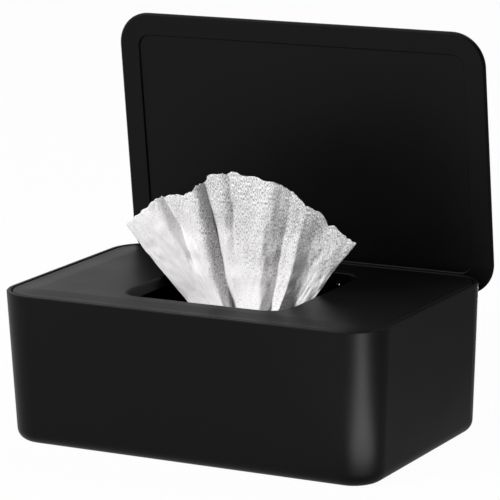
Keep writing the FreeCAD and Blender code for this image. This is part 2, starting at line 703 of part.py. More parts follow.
def main():
    """Build every sub-part, check them all and write one STEP file for each."""
    fill_sheet()
    parts = [make_tub(), make_deck(), make_lid(), make_pin(), make_stack(), make_wipe()]
    for side, sign_x in (("left", -1), ("right", 1)):
        for end, sign_y in (("front", -1), ("rear", 1)):
            parts.append(make_foot(f"foot_{end}_{side}", sign_x, sign_y))
    DOC.recompute()
    check(parts)
    os.makedirs("parts", exist_ok=True)
    for item in parts:
        item.Shape.exportStep(f"parts/{item.Label}.step")
        box = item.Shape.BoundBox
        print(item.Label, f"{item.Shape.Volume:.0f} mm3", f"x {box.XMin:.2f} {box.XMax:.2f}",
              f"y {box.YMin:.2f} {box.YMax:.2f}", f"z {box.ZMin:.2f} {box.ZMax:.2f}")


main()
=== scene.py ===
"""Countertop wipes dispenser: finishes, cloth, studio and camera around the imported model."""
import logging
from dataclasses import dataclass, replace
from enum import Enum
from math import cos, radians, sin

import bpy
import numpy as np
from mathutils import Matrix, Vector


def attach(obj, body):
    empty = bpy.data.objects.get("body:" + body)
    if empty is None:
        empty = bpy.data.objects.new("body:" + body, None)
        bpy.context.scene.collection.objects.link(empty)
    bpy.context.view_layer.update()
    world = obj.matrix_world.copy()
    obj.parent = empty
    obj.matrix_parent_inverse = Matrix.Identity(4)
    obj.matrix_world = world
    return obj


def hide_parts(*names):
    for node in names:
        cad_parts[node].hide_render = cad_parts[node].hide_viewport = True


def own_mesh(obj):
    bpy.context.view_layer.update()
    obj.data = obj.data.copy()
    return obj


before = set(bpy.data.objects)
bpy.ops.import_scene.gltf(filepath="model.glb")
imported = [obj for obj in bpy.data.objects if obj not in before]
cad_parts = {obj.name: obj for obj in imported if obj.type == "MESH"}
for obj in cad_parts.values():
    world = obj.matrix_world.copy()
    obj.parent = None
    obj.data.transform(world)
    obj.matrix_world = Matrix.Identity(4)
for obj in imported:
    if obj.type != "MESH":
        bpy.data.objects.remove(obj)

LOG = logging.getLogger("wipes_dispenser")
MM = 0.001
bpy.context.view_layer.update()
Span = tuple[float, float]
Triple = tuple[float, float, float]
Quad = tuple[float, float, float, float]


class Body(Enum):
    """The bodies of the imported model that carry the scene's own pieces."""

    TUB = "tub"
    DECK = "deck"


class Slot(Enum):
    """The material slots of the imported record."""

    PLASTIC = "black_plastic"
    STEEL = "pin_steel"
    RUBBER = "foot_rubber"
    CLOTH = "wipe_cloth"


# Shared surface and shader helpers


def smooth_step(value: np.ndarray) -> np.ndarray:
    """Eased share: 3v^2 - 2v^3 of a value held between 0 and 1."""
    held = np.clip(value, 0.0, 1.0)
    return held * held * (3.0 - 2.0 * held)


def through_knots(knots: np.ndarray, roundness: np.ndarray, where: np.ndarray) -> np.ndarray:
    """Curve through evenly numbered knots, rounder or sharper at each of them.

    Between two knots the value is the cubic that starts and ends at them. Its direction at a knot is
    half the chord of the knot's two neighbours, times the knot's roundness: 1 gives a smooth bend, and
    0 a corner between two straight stretches.

    Args:
        knots: Array of shape (count, n).
        roundness: Array of shape (count,).
        where: Places from 0 to count - 1, of shape (m,).

    Returns:
        Array of shape (m, n).
    """
    chords = np.diff(knots, axis=0)
    headings = np.concatenate([chords[:1], (chords[1:] + chords[:-1]) / 2, chords[-1:]])
    headings = headings * roundness[:, None]
    low = np.clip(np.floor(where).astype(int), 0, len(knots) - 2)
    share = (where - low)[:, None]
    ease = smooth_step(share)
    leave = share * (1 - share) ** 2 * headings[low]
    arrive = share * share * (1 - share) * headings[low + 1]
    return knots[low] * (1 - ease) + knots[low + 1] * ease + leave - arrive


def gentle_noise(shape: tuple[int, int], cells: tuple[int, int], seed: int) -> np.ndarray:
    """Smooth seeded noise on a grid.

    Random heights between -1 and 1 stand on a coarse lattice, and the eased bilinear blend of the
    four lattice heights around a place gives its noise.

    Args:
        shape: Rows and columns of the grid.
        cells: Lattice cells down and across.
        seed: Seed of the random heights.

    Returns:
        Array of the grid's shape.
    """
    heights = np.random.default_rng(seed).uniform(-1.0, 1.0, (cells[0] + 2, cells[1] + 2))
    down = np.linspace(0.0, cells[0], shape[0])
    across = np.linspace(0.0, cells[1], shape[1])
    row, column = down.astype(int), across.astype(int)
    part_down = smooth_step(down - row)[:, None]
    part_across = smooth_step(across - column)[None, :]
    near = heights[row][:, column] * (1 - part_across) + heights[row][:, column + 1] * part_across
    far = heights[row + 1][:, column] * (1 - part_across) + heights[row + 1][:, column + 1] * part_across
    return near * (1 - part_down) + far * part_down


def read_across(grid: np.ndarray, share: np.ndarray) -> np.ndarray:
    """Grid read at other places across: each row's straight blend of its two nearest columns.

    Args:
        grid: Array of shape (rows, columns).
        share: Places from 0 to 1 across the grid, of shape (m,).

    Returns:
        Array of shape (rows, m).
    """
    where = share * (grid.shape[1] - 1)
    low = np.clip(where.astype(int), 0, grid.shape[1] - 2)
    part = where - low
    return grid[:, low] * (1 - part) + grid[:, low + 1] * part


@dataclass(frozen=True)
class Ripple:
    """Seeded unevenness: lattice cells down and across, height in millimetres, and seed."""

    cells: tuple[int, int]
    height: float
    seed: int

    def over(self, shape: tuple[int, int]) -> np.ndarray:
        """Heights on a grid of this shape, in millimetres."""
        return gentle_noise(shape, self.cells, self.seed) * self.height


def grid_piece(name: str, points: np.ndarray, flat: np.ndarray) -> bpy.types.Object:
    """A smooth quad sheet over a grid of points.

    Args:
        name: Name of the piece.
        points: Places in metres, of shape (rows, columns, 3).
        flat: Place of each point on the flat cloth in metres, of shape (rows, columns, 2).

    Returns:
        The new object, at the origin, with the flat places as its UV map.
    """
    rows, columns = points.shape[:2]
    index = np.arange(rows * columns).reshape(rows, columns)
    corners = (index[:-1, :-1], index[:-1, 1:], index[1:, 1:], index[1:, :-1])
    quads = np.stack([corner.ravel() for corner in corners], axis=1)
    mesh = bpy.data.meshes.new(name)
    mesh.from_pydata(points.reshape(-1, 3), [], quads.tolist())
    layer = mesh.uv_layers.new(name="flat_cloth")
    layer.data.foreach_set("uv", flat.reshape(-1, 2)[quads.ravel()].ravel())
    mesh.polygons.foreach_set("use_smooth", np.ones(len(quads), dtype=bool))
    mesh.update()
    piece = bpy.data.objects.new(name, mesh)
    bpy.context.scene.collection.objects.link(piece)
    return piece


def thicken(piece: bpy.types.Object, thickness: float) -> None:
    """Give a sheet its thickness in millimetres, half of it on each side."""
    wall = piece.modifiers.new("ply", "SOLIDIFY")
    wall.thickness = thickness * MM
    wall.offset = 0.0


class ShaderBoard:
    """The node tree of one material or of the world, with short calls to add and join nodes."""

    def __init__(self, name: str = "", world: bpy.types.World | None = None) -> None:
        """Start an empty node tree for a material of this name, or for a world."""
        self.owner = world or bpy.data.materials.new(name)
        self.owner.use_nodes = True
        self.tree = self.owner.node_tree
        self.tree.nodes.clear()
        self.output = self.tree.nodes.new("ShaderNodeOutputWorld" if world else "ShaderNodeOutputMaterial")

    def node(self, kind: str, **settings: object) -> bpy.types.Node:
        """Add a node; each setting names a property of the node.

        Args:
            kind: The node's type, without its ShaderNode prefix.
            settings: Properties to set.

        Returns:
            The new node.
        """
        node = self.tree.nodes.new("ShaderNode" + kind)
        for key, value in settings.items():
            setattr(node, key, value)
        return node

    def plug(self, socket: bpy.types.NodeSocket, value: object) -> None:
        """Join an output to this input, or set the input to a plain value."""
        if isinstance(value, bpy.types.NodeSocket):
            self.tree.links.new(value, socket)
        else:
            socket.default_value = value

    def feed(self, node: bpy.types.Node, **values: object) -> bpy.types.Node:
        """Set or join a node's inputs.

        Args:
            node: The node to feed.
            values: Input names with _ for a space, each with a value or an output socket.

        Returns:
            The same node.
        """
        for key, value in values.items():
            self.plug(node.inputs[key.replace("_", " ")], value)
        return node

    def object_place(self, stretch: Triple = (1, 1, 1)) -> bpy.types.NodeSocket:
        """Object coordinates, stretched by a factor along each axis."""
        place = self.node("TexCoord").outputs["Object"]
        mapping = self.feed(self.node("Mapping"), Vector=place, Scale=stretch)
        return mapping.outputs["Vector"]

    def cloth_place(self, stretch: Triple = (1, 1, 1)) -> bpy.types.NodeSocket:
        """Place on the flat cloth in metres, stretched by a factor along each axis."""
        place = self.node("UVMap", uv_map="flat_cloth").outputs["UV"]
        mapping = self.feed(self.node("Mapping"), Vector=place, Scale=stretch)
        return mapping.outputs["Vector"]

    def noise(self, place: bpy.types.NodeSocket, scale: float, detail: float = 2.0,
              roughness: float = 0.5) -> bpy.types.NodeSocket:
        """Noise between about 0 and 1 at a scale in cells per metre."""
        node = self.feed(self.node("TexNoise"), Vector=place, Scale=scale, Detail=detail,
                         Roughness=roughness)
        return node.outputs["Fac"]

    def ramp(self, value: bpy.types.NodeSocket, span: Span, to: Span) -> bpy.types.NodeSocket:
        """Straight, held map of a value: the span's two ends become the two numbers of to."""
        node = self.feed(self.node("MapRange"), Value=value, From_Min=span[0], From_Max=span[1],
                         To_Min=to[0], To_Max=to[1])
        return node.outputs["Result"]

    def math(self, operation: str, first: object, second: object) -> bpy.types.NodeSocket:
        """One arithmetic step on two values or sockets."""
        node = self.node("Math", operation=operation)
        self.plug(node.inputs[0], first)
        self.plug(node.inputs[1], second)
        return node.outputs[0]

    def sum_of(self, first: object, *others: object) -> bpy.types.NodeSocket:
        """Sum of two or more values or sockets."""
        total = first
        for other in others:
            total = self.math("ADD", total, other)
        return total

    def blend(self, share: bpy.types.NodeSocket, first: Triple, second: Triple) -> bpy.types.NodeSocket:
        """Colour between two colours by a share, through the colour sockets of a Mix node."""
        node = self.node("Mix", data_type="RGBA")
        for place, value in ((0, share), (6, (*first, 1.0)), (7, (*second, 1.0))):
            self.plug(node.inputs[place], value)
        return node.outputs[2]

    def mixed(self, share: object, first: bpy.types.Node, second: bpy.types.Node) -> bpy.types.Node:
        """Shader between two shaders by a share."""
        both = self.node("MixShader")
        for socket, value in zip(both.inputs, (share, first.outputs[0], second.outputs[0])):
            self.plug(socket, value)
        return both

    def rays(self) -> tuple[bpy.types.NodeSocket, bpy.types.NodeSocket]:
        """Whether a ray sees a surface straight or through a clear piece, and whether it is mirrored."""
        path = self.node("LightPath").outputs
        straight = self.math("MAXIMUM", path["Is Camera Ray"], path["Is Transmission Ray"])
        return straight, path["Is Glossy Ray"]

    def bump(self, height: bpy.types.NodeSocket, depth: float, strength: float) -> bpy.types.NodeSocket:
        """Bumped normal from a height between 0 and 1 and its depth in metres."""
        node = self.feed(self.node("Bump"), Height=height, Distance=depth, Strength=strength)
        return node.outputs["Normal"]

    def finish(self, shader: bpy.types.Node) -> bpy.types.Material:
        """Join the last shader to the output and return the tree's owner."""
        self.tree.links.new(shader.outputs[0], self.output.inputs["Surface"])
        return self.owner


# Finishes


@dataclass(frozen=True)
class SatinPlastic:
    """Black moulded plastic with a fine spark-eroded grain and faint, soft changes in its sheen."""

    name: str = "black_satin_plastic"
    base: Triple = (0.0012, 0.0012, 0.0015)
    worn: Triple = (0.0022, 0.0022, 0.0026)
    roughness: Span = (0.38, 0.43)
    specular: float = 0.10
    cloud_scale: float = 28.0
    grain_scale: float = 2600.0
    grain_depth: float = 0.000012

    def make(self) -> bpy.types.Material:
        """Build the material."""
        board = ShaderBoard(self.name)
        place = board.object_place()
        cloud = board.noise(place, self.cloud_scale, detail=3.0, roughness=0.55)
        grain = board.noise(place, self.grain_scale, detail=2.0, roughness=0.6)
        gloss = board.ramp(cloud, span=(0.3, 0.7), to=self.roughness)
        colour = board.blend(board.ramp(grain, span=(0.35, 0.75), to=(0.0, 1.0)), self.base, self.worn)
        normal = board.bump(grain, self.grain_depth, strength=0.6)
        shader = board.feed(board.node("BsdfPrincipled"), Base_Color=colour, Roughness=gloss, Normal=normal)
        shader.inputs["Specular IOR Level"].default_value = self.specular
        return board.finish(shader)


@dataclass(frozen=True)
class BrushedSteel:
    """Drawn steel wire with fine lines along the pin."""

    name: str = "drawn_pin_steel"
    colour: Triple = (0.56, 0.56, 0.57)
    dark: Triple = (0.42, 0.42, 0.43)
    roughness: Span = (0.22, 0.38)
    line_scale: float = 900.0
    line_stretch: Triple = (0.04, 1.0, 1.0)
    line_depth: float = 0.00001

    def make(self) -> bpy.types.Material:
        """Build the material."""
        board = ShaderBoard(self.name)
        lines = board.noise(board.object_place(self.line_stretch), self.line_scale, detail=3.0)
        shader = board.feed(
            board.node("BsdfPrincipled"), Base_Color=board.blend(lines, self.dark, self.colour),
            Metallic=1.0, Roughness=board.ramp(lines, span=(0.3, 0.7), to=self.roughness),
            Normal=board.bump(lines, self.line_depth, strength=0.4),
        )
        return board.finish(shader)


@dataclass(frozen=True)
class FootRubber:
    """Soft dark rubber with a dusty, pitted skin."""

    name: str = "soft_foot_rubber"
    colour: Triple = (0.022, 0.022, 0.023)
    dust: Triple = (0.05, 0.05, 0.05)
    roughness: Span = (0.7, 0.88)
    specular: float = 0.3
    pit_scale: float = 1500.0
    pit_depth: float = 0.00003
    dust_scale: float = 180.0
    most_dust: float = 0.7

    def make(self) -> bpy.types.Material:
        """Build the material."""
        board = ShaderBoard(self.name)
        place = board.object_place()
        pits = board.noise(place, self.pit_scale, detail=3.0, roughness=0.6)
        specks = board.noise(place, self.dust_scale, detail=3.0)
        dust = board.ramp(specks, span=(0.5, 0.8), to=(0.0, self.most_dust))
        shader = board.feed(
            board.node("BsdfPrincipled"), Base_Color=board.blend(dust, self.colour, self.dust),
            Roughness=board.ramp(pits, span=(0.3, 0.7), to=self.roughness),
            Normal=board.bump(pits, self.pit_depth, strength=0.7),
        )
        shader.inputs["Specular IOR Level"].default_value = self.specular
        return board.finish(shader)


@dataclass(frozen=True)
class NonwovenCloth:
    """Thin white nonwoven: tangled fibres, small thin places and a little light from behind.

    The thin places are few near the deck and the cloth's left edge, and many towards the cloth's right edge
    and its free end. Many more are put across one deep fold as painted shade: they darken that fold's
    flank, which faces away from the key lamp. What is less or more there is added to the pores' noise
    before it is held against the level. The spans are places on the flat cloth, in metres.
    """

    name: str = "white_nonwoven"
    white: Triple = (0.82, 0.805, 0.81)
    # Colour of the thin places, which also paints the shade across one deep fold.
    thin: Triple = (0.30, 0.30, 0.31)
    through: Triple = (0.75, 0.75, 0.77)
    roughness: float = 0.85
    specular: float = 0.15
    lit_from_behind: float = 0.06
    fibre_scale: float = 1400.0
    fibre_stretch: Triple = (1.0, 0.16, 1.0)
    cross_stretch: Triple = (0.7, 1.0, 1.0)
    fibre_depth: float = 0.00012
    fine_share: float = 0.10
    pore_scale: float = 2700.0
    pore_stretch: Triple = (1.0, 0.32, 1.0)
    pore_level: Span = (0.61, 0.70)
    patch_scale: float = 60.0
    patch_stretch: Triple = (1.0, 0.6, 1.0)
    patch_change: Span = (-0.03, 0.035)
    left_to_right: Span = (-0.050, 0.030)
    less_at_left: float = -0.050
    more_at_right: float = 0.068
    deck_to_end: Span = (0.140, 0.180)
    less_at_deck: float = -0.040
    more_at_end: float = 0.115
    # Flat-cloth spans of the painted shade across one deep fold, and how much it adds to the pores.
    into_shaded_fold: Span = (-0.026, -0.017)
    out_of_shaded_fold: Span = (-0.0130, -0.0118)
    painted_shade_in_fold: float = 0.150

    def thin_places_and_fold_shade(self, board: ShaderBoard) -> bpy.types.NodeSocket:
        """Share of thin cloth at a place, with painted shade across one deep fold: pores that pass a level
        which falls where they are many.
        """
        pores = board.noise(board.cloth_place(self.pore_stretch), self.pore_scale, detail=1.0)
        patches = board.noise(board.cloth_place(self.patch_stretch), self.patch_scale)
        flat = board.feed(board.node("SeparateXYZ"), Vector=board.cloth_place()).outputs
        to_right = board.ramp(flat["X"], self.left_to_right, to=(self.less_at_left, self.more_at_right))
        to_end = board.ramp(flat["Y"], self.deck_to_end, to=(self.less_at_deck, self.more_at_end))
        uneven = board.ramp(patches, span=(0.35, 0.65), to=self.patch_change)
        # Painted shade: more thin places across one deep fold darken its flank, which faces away from the
        # key lamp.
        fold_shade_starts = board.ramp(flat["X"], self.into_shaded_fold, to=(0.0, self.painted_shade_in_fold))
        fold_shade_lasts = board.ramp(flat["X"], self.out_of_shaded_fold, to=(1.0, 0.0))
        painted_fold_shade = board.math("MULTIPLY", fold_shade_starts, fold_shade_lasts)
        level = board.sum_of(pores, to_right, to_end, uneven, painted_fold_shade)
        return board.ramp(level, self.pore_level, to=(0.0, 1.0))

    def make(self) -> bpy.types.Material:
        """Build the material."""
        board = ShaderBoard(self.name)
        along = board.cloth_place(self.fibre_stretch)
        across = board.cloth_place(self.cross_stretch)
        fibres = board.noise(along, self.fibre_scale, detail=4.0, roughness=0.65)
        cross = board.noise(across, self.fibre_scale, detail=3.0, roughness=0.6)
        tangle = board.math("MULTIPLY", fibres, cross)
        shade = board.ramp(tangle, span=(0.16, 0.30), to=(self.fine_share, 0.0))
        colour = board.blend(board.math("MAXIMUM", shade, self.thin_places_and_fold_shade(board)), self.white, self.thin)
        face = board.feed(
            board.node("BsdfPrincipled"), Base_Color=colour, Roughness=self.roughness,
            Normal=board.bump(tangle, self.fibre_depth, strength=0.55),
        )
        face.inputs["Specular IOR Level"].default_value = self.specular
        back = board.feed(board.node("BsdfTranslucent"), Color=(*self.through, 1.0))
        return board.finish(board.mixed(self.lit_from_behind, face, back))


# Sub-assemblies


@dataclass
class Housing:
    """Tub, deck and lid with their hinge pin and feet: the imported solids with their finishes."""

    nodes: tuple[tuple[Slot, tuple[str, ...]], ...] = (
        (Slot.PLASTIC, ("tub", "deck", "lid")),
        (Slot.STEEL, ("hinge_pin",)),
        (Slot.RUBBER, ("foot_front_left", "foot_front_right", "foot_rear_left", "foot_rear_right")),
    )

    def dress(self) -> list[str]:
        """Give every node its finish.

        Returns:
            The names of the dressed nodes.
        """
        finishes = {Slot.PLASTIC: SatinPlastic(), Slot.STEEL: BrushedSteel(), Slot.RUBBER: FootRubber()}
        dressed: list[str] = []
        for slot, names in self.nodes:
            material = finishes[slot].make()
            for name in names:
                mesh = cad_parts[name].data
                mesh.materials.clear()
                mesh.materials.append(material)
                dressed.append(name)
        return dressed


@dataclass(frozen=True)
class Fold:
    """One ridge or crease of the fan, at four heights from the deck up.

    The lean is how far it runs sideways for each unit that it rises from the fan's apex, as seen from
    the front right. The slope is how steeply the cloth runs back from it to the next fold on its right.
    """

    lean: Quad
    slope: Quad
    roundness: float = 1.0


@dataclass
class PleatedWipe:
    """The pulled-up wipe: hem on the stack, a fold to the front, a gathered neck and a fan above the deck.

    Lengths are in millimetres in the part's frame. The fan opens from the apex, a point below the deck,
    and the folds' leans and slopes are given at the four heights. The view's run and drop are how far a
    place moves sideways and down for each millimetre that a pleat sets it back, which keeps it where the
    camera sees it. The edge is the line of the ragged top, in pairs of sideways place and height.
    """

    flat_width: float = 160.0
    flat_length: float = 190.0
    apex: Triple = (2.5, 3.0, 24.9)
    heights: Quad = (70.0, 80.0, 92.0, 106.0)
    left_lean_back: float = -0.058
    stack_top: float = 43.55
    lay_gap: float = 0.55
    hem_back: float = 36.0
    fold_front: float = 40.0
    turn_radius: float = 1.1
    bend_radius: float = 10.0
    bend_rise: float = 1.6
    laid_half_width: float = 78.0
    view_run: float = 0.558
    view_drop: float = 0.241
    gather_from: float = 42.0
    gathered_before_neck: float = 9.0
    gather_depth: float = 1.9
    pleat_ease: float = 1.5
    laid_calm: float = 0.75
    broad_ripple: Ripple = Ripple((26, 60), 0.35, 11)
    fine_ripple: Ripple = Ripple((60, 130), 0.12, 12)
    fine_fray: Ripple = Ripple((1, 120), 0.30, 21)
    broad_fray: Ripple = Ripple((1, 46), 0.45, 22)
    thickness: float = 0.3
    laid_rows: int = 100
    fan_rows: int = 82
    columns: int = 267
    folds: tuple[Fold, ...] = (
        Fold((-0.985, -0.985, -0.962, -0.958), (-0.05, -0.05, -0.08, -0.05)),
        Fold((-0.800, -0.800, -0.790, -0.780), (-0.12, -0.12, -0.05, -0.10)),
        Fold((-0.630, -0.632, -0.641, -0.620), (-0.30, 1.20, 1.40, 1.20), 0.8),
        Fold((-0.567, -0.557, -0.526, -0.540), (-0.45, -0.60, -0.65, -0.50), 0.25),
        Fold((-0.505, -0.480, -0.450, -0.440), (-0.40, -0.45, -0.50, -0.40)),
        Fold((-0.448, -0.410, -0.373, -0.344), (0.60, 0.60, 0.60, 0.60)),
        Fold((-0.385, -0.351, -0.310, -0.299), (2.00, 2.60, 3.20, 3.00)),
        Fold((-0.272, -0.255, -0.246, -0.252), (-0.60, -0.75, -0.80, -0.70), 0.25),
        Fold((-0.199, -0.199, -0.182, -0.168), (-0.25, -0.10, 0.20, 0.55), 0.8),
        Fold((-0.122, -0.122, -0.115, -0.101), (-0.35, -0.35, -0.35, -0.25), 0.4),
        Fold((0.000, 0.000, -0.010, 0.010), (-0.35, -0.35, -0.35, -0.30)),
        Fold((0.108, 0.099, 0.094, 0.122), (0.50, 0.47, 0.42, 0.40), 0.8),
        Fold((0.210, 0.192, 0.205, 0.200), (0.80, 0.75, 0.60, 0.45)),
        Fold((0.286, 0.264, 0.257, 0.248), (-0.45, -0.40, -0.40, -0.30), 0.5),
        Fold((0.345, 0.325, 0.310, 0.300), (-0.35, -0.35, -0.30, -0.15)),
        Fold((0.408, 0.391, 0.367, 0.357), (0.85, 0.80, 0.60, 0.35), 0.3),
        Fold((0.562, 0.532, 0.501, 0.496), (-0.05, -0.02, 0.05, 0.08)),
        Fold((0.670, 0.650, 0.660, 0.660), (0.15, 0.15, 0.15, 0.18)),
        Fold((0.773, 0.765, 0.780, 0.792), (0.0, 0.0, 0.0, 0.0)),
    )
    edge: tuple[Span, ...] = (
        (-62.3, 92.1), (-57.6, 95.8), (-52.9, 98.6), (-45.5, 104.4), (-39.0, 107.5), (-36.3, 107.4),
        (-31.8, 107.8), (-26.3, 110.0), (-25.4, 112.0), (-19.1, 115.3), (-18.6, 117.3), (-12.8, 119.0),
        (-5.2, 120.2), (-0.4, 119.2), (5.7, 118.5), (14.4, 116.8), (19.6, 116.0), (23.9, 113.7),
        (28.2, 110.1), (33.3, 107.0), (39.3, 104.8), (41.0, 103.0), (41.8, 100.0), (44.4, 99.9),
        (48.6, 96.7), (53.7, 93.7), (56.6, 93.2),
    )

    def marks(self) -> np.ndarray:
        """Lengths from the hem to the ends of the middle line's parts, up to where it stands upright."""
        lay = self.hem_back + self.fold_front
        turn = np.pi * self.turn_radius
        rest = self.apex[1] - self.bend_radius + self.fold_front
        bend = np.pi / 2 * self.bend_radius
        return np.cumsum([0.0, lay, turn, rest, bend])

    def spine(self, run: np.ndarray) -> tuple[np.ndarray, np.ndarray, np.ndarray, np.ndarray]:
        """The cloth's middle line in the plane across the box, by the length run from its hem.

        It lies flat from the hem to the front fold, turns back on a half circle, lies on itself with a
        slight rise, turns up on a quarter circle and then stands upright.

        Args:
            run: Lengths from the hem, in millimetres.

        Returns:
            Depth, height, and the depth and height parts of the line's direction.
        """
        low = self.stack_top + self.lay_gap
        marks = self.marks()
        within = [np.clip(run - start, 0.0, end - start) for start, end in zip(marks, marks[1:])]
        above = np.maximum(run - marks[-1], 0.0)
        angle = within[1] / self.turn_radius
        swing = within[3] / self.bend_radius
        rise = self.bend_rise * smooth_step(within[2] / (marks[3] - marks[2]))
        y = self.hem_back - within[0] - self.turn_radius * np.sin(angle) + within[2]
        y = y + self.bend_radius * np.sin(swing)
        z = low + self.turn_radius * (1 - np.cos(angle)) + rise
        z = z + self.bend_radius * (1 - np.cos(swing)) + above
        heading = np.where(run < marks[1], np.pi, np.where(run < marks[2], np.pi - angle, swing))
        return y, z, np.cos(heading), np.sin(heading)

    def at_height(self, values: np.ndarray, level: np.ndarray) -> np.ndarray:
        """Blend values that are known at the four heights.

        Each step from one height to the next is eased in by the share of the way between them.

        Args:
            values: Array of shape (columns, 4).
            level: Heights in millimetres, of any shape that ends in the columns.

        Returns:
            Array of the levels' shape.
        """
        blended = np.broadcast_to(values[:, 0], level.shape)
        for place, (low, high) in enumerate(zip(self.heights, self.heights[1:])):
            step = values[:, place + 1] - values[:, place]
            blended = blended + step * smooth_step((level - low) / (high - low))
        return blended

    def fan_columns(self) -> tuple[np.ndarray, np.ndarray]:
        """Lean and depth of every column of the grid, for each unit above the apex, at the four heights.

        From one fold to the next the cloth runs back by its slope times its true width, which is the
        width as seen less the view's run for that depth. The sums of these steps are the folds' depths.

        Returns:
            Two arrays of shape (columns, 4).
        """
        lean = np.array([fold.lean for fold in self.folds])
        slope = np.array([fold.slope for fold in self.folds])[:-1]
        roundness = np.array([fold.roundness for fold in self.folds])
        steps = slope * np.diff(lean, axis=0) / (1 + self.view_run * slope)
        depth = self.left_lean_back + np.concatenate([np.zeros((1, 4)), np.cumsum(steps, axis=0)])
        across = np.linspace(0.0, len(lean) - 1.0, self.columns)
        columns = through_knots(np.concatenate([lean, depth], axis=1), roundness, across)
        return columns[:, :4], columns[:, 4:]

    def width_shares(self, lean: np.ndarray, depth: np.ndarray) -> np.ndarray:
        """Share of the cloth's true width to the left of every column, half-way up the fan.

        The true width is the length of the pleated line, in and out of its folds.

        Args:
            lean: Leans of the columns, of shape (columns, 4).
            depth: Depths of the columns, of shape (columns, 4).

        Returns:
            Shares from 0 to 1, of shape (columns,).
        """
        across = lean[:, 2] - self.view_run * depth[:, 2]
        steps = np.hypot(np.diff(across), np.diff(depth[:, 2]))
        width = np.concatenate([[0.0], np.cumsum(steps)])
        return width / width[-1]

    def top_levels(self, lean: np.ndarray) -> np.ndarray:
        """Height of the ragged top edge above every column.

        Args:
            lean: Leans of the columns, of shape (columns, 4).

        Returns:
            Array of shape (columns,).
        """
        edge = np.array(self.edge)
        edge_lean = (edge[:, 0] - self.apex[0]) / (edge[:, 1] - self.apex[2])
        level = np.interp(lean[:, 2], edge_lean, edge[:, 1])
        level = np.interp(self.at_height(lean, level), edge_lean, edge[:, 1])
        line = (2, self.columns)
        return level + self.fine_fray.over(line)[0] + self.broad_fray.over(line)[0]

    def surface(self) -> tuple[np.ndarray, np.ndarray]:
        """Places of the cloth's grid and their places on the flat cloth.

        Columns follow the folds. The first rows run from the hem to the neck and the others from the
        neck to the ragged top edge. Above the neck, a column's sideways place and its depth are its
        lean and its depth share times the height over the apex, so the folds open like a fan. Below
        the neck the columns spread out until the hem lies at its full width. Small seeded ripples lie
        over all of it.

        Returns:
            Arrays of shape (rows, columns, 3) and (rows, columns, 2), in metres.
        """
        leans, depths = self.fan_columns()
        neck_run = self.marks()[-1]
        neck_level = self.spine(np.array([neck_run]))[1][0]
        rise = self.top_levels(leans) - neck_level
        laid = np.linspace(0.0, neck_run, self.laid_rows, endpoint=False)[:, None] + np.zeros_like(rise)
        run = np.concatenate([laid, neck_run + np.linspace(0.0, 1.0, self.fan_rows)[:, None] * rise])
        spine_y, spine_z, head_y, head_z = self.spine(run)
        lean = self.at_height(leans, spine_z)
        gather_run = neck_run - self.gathered_before_neck - self.gather_from
        spread = 1 - smooth_step((run - self.gather_from) / gather_run)
        deck_level = self.heights[0]
        gather = 1 - smooth_step((spine_z - neck_level) / (deck_level - neck_level))
        reach = np.maximum(spine_z, deck_level) - self.apex[2]
        pleat = self.at_height(depths, spine_z) * reach * (1 - spread) ** self.pleat_ease
        middle = pleat.mean(axis=1, keepdims=True)
        pleat = middle + (pleat - middle) * (1 + (self.gather_depth - 1) * gather)
        laid_x = np.linspace(-1.0, 1.0, self.columns) * self.laid_half_width
        fan_x = self.apex[0] + lean * (spine_z - self.apex[2])
        shape = run.shape
        share = self.width_shares(leans, depths)
        ripple = self.broad_ripple.over(shape) + self.fine_ripple.over(shape)
        side = pleat + read_across(ripple, share) * (1 - self.laid_calm * spread)
        x = fan_x * (1 - spread) + laid_x * spread - self.view_run * pleat * (1 - spread)
        y = spine_y + side * head_z
        z = spine_z - side * head_y - self.view_drop * pleat * head_z * (1 - spread)
        points = np.stack([x, y, z], axis=-1)
        width = np.broadcast_to((share - 0.5) * self.flat_width, shape)
        flat = np.stack([width, run], axis=-1)
        return points * MM, flat * MM

    def build(self, finish: bpy.types.Material) -> bpy.types.Object:
        """Make the wipe, dress it and tie it to the deck.

        Args:
            finish: The cloth's material.

        Returns:
            The finished piece.
        """
        points, flat = self.surface()
        piece = grid_piece("pleated_wipe", points, flat)
        piece.data.materials.append(finish)
        thicken(piece, self.thickness)
        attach(piece, Body.DECK.value)
        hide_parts("wipe")
        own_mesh(piece)
        return piece


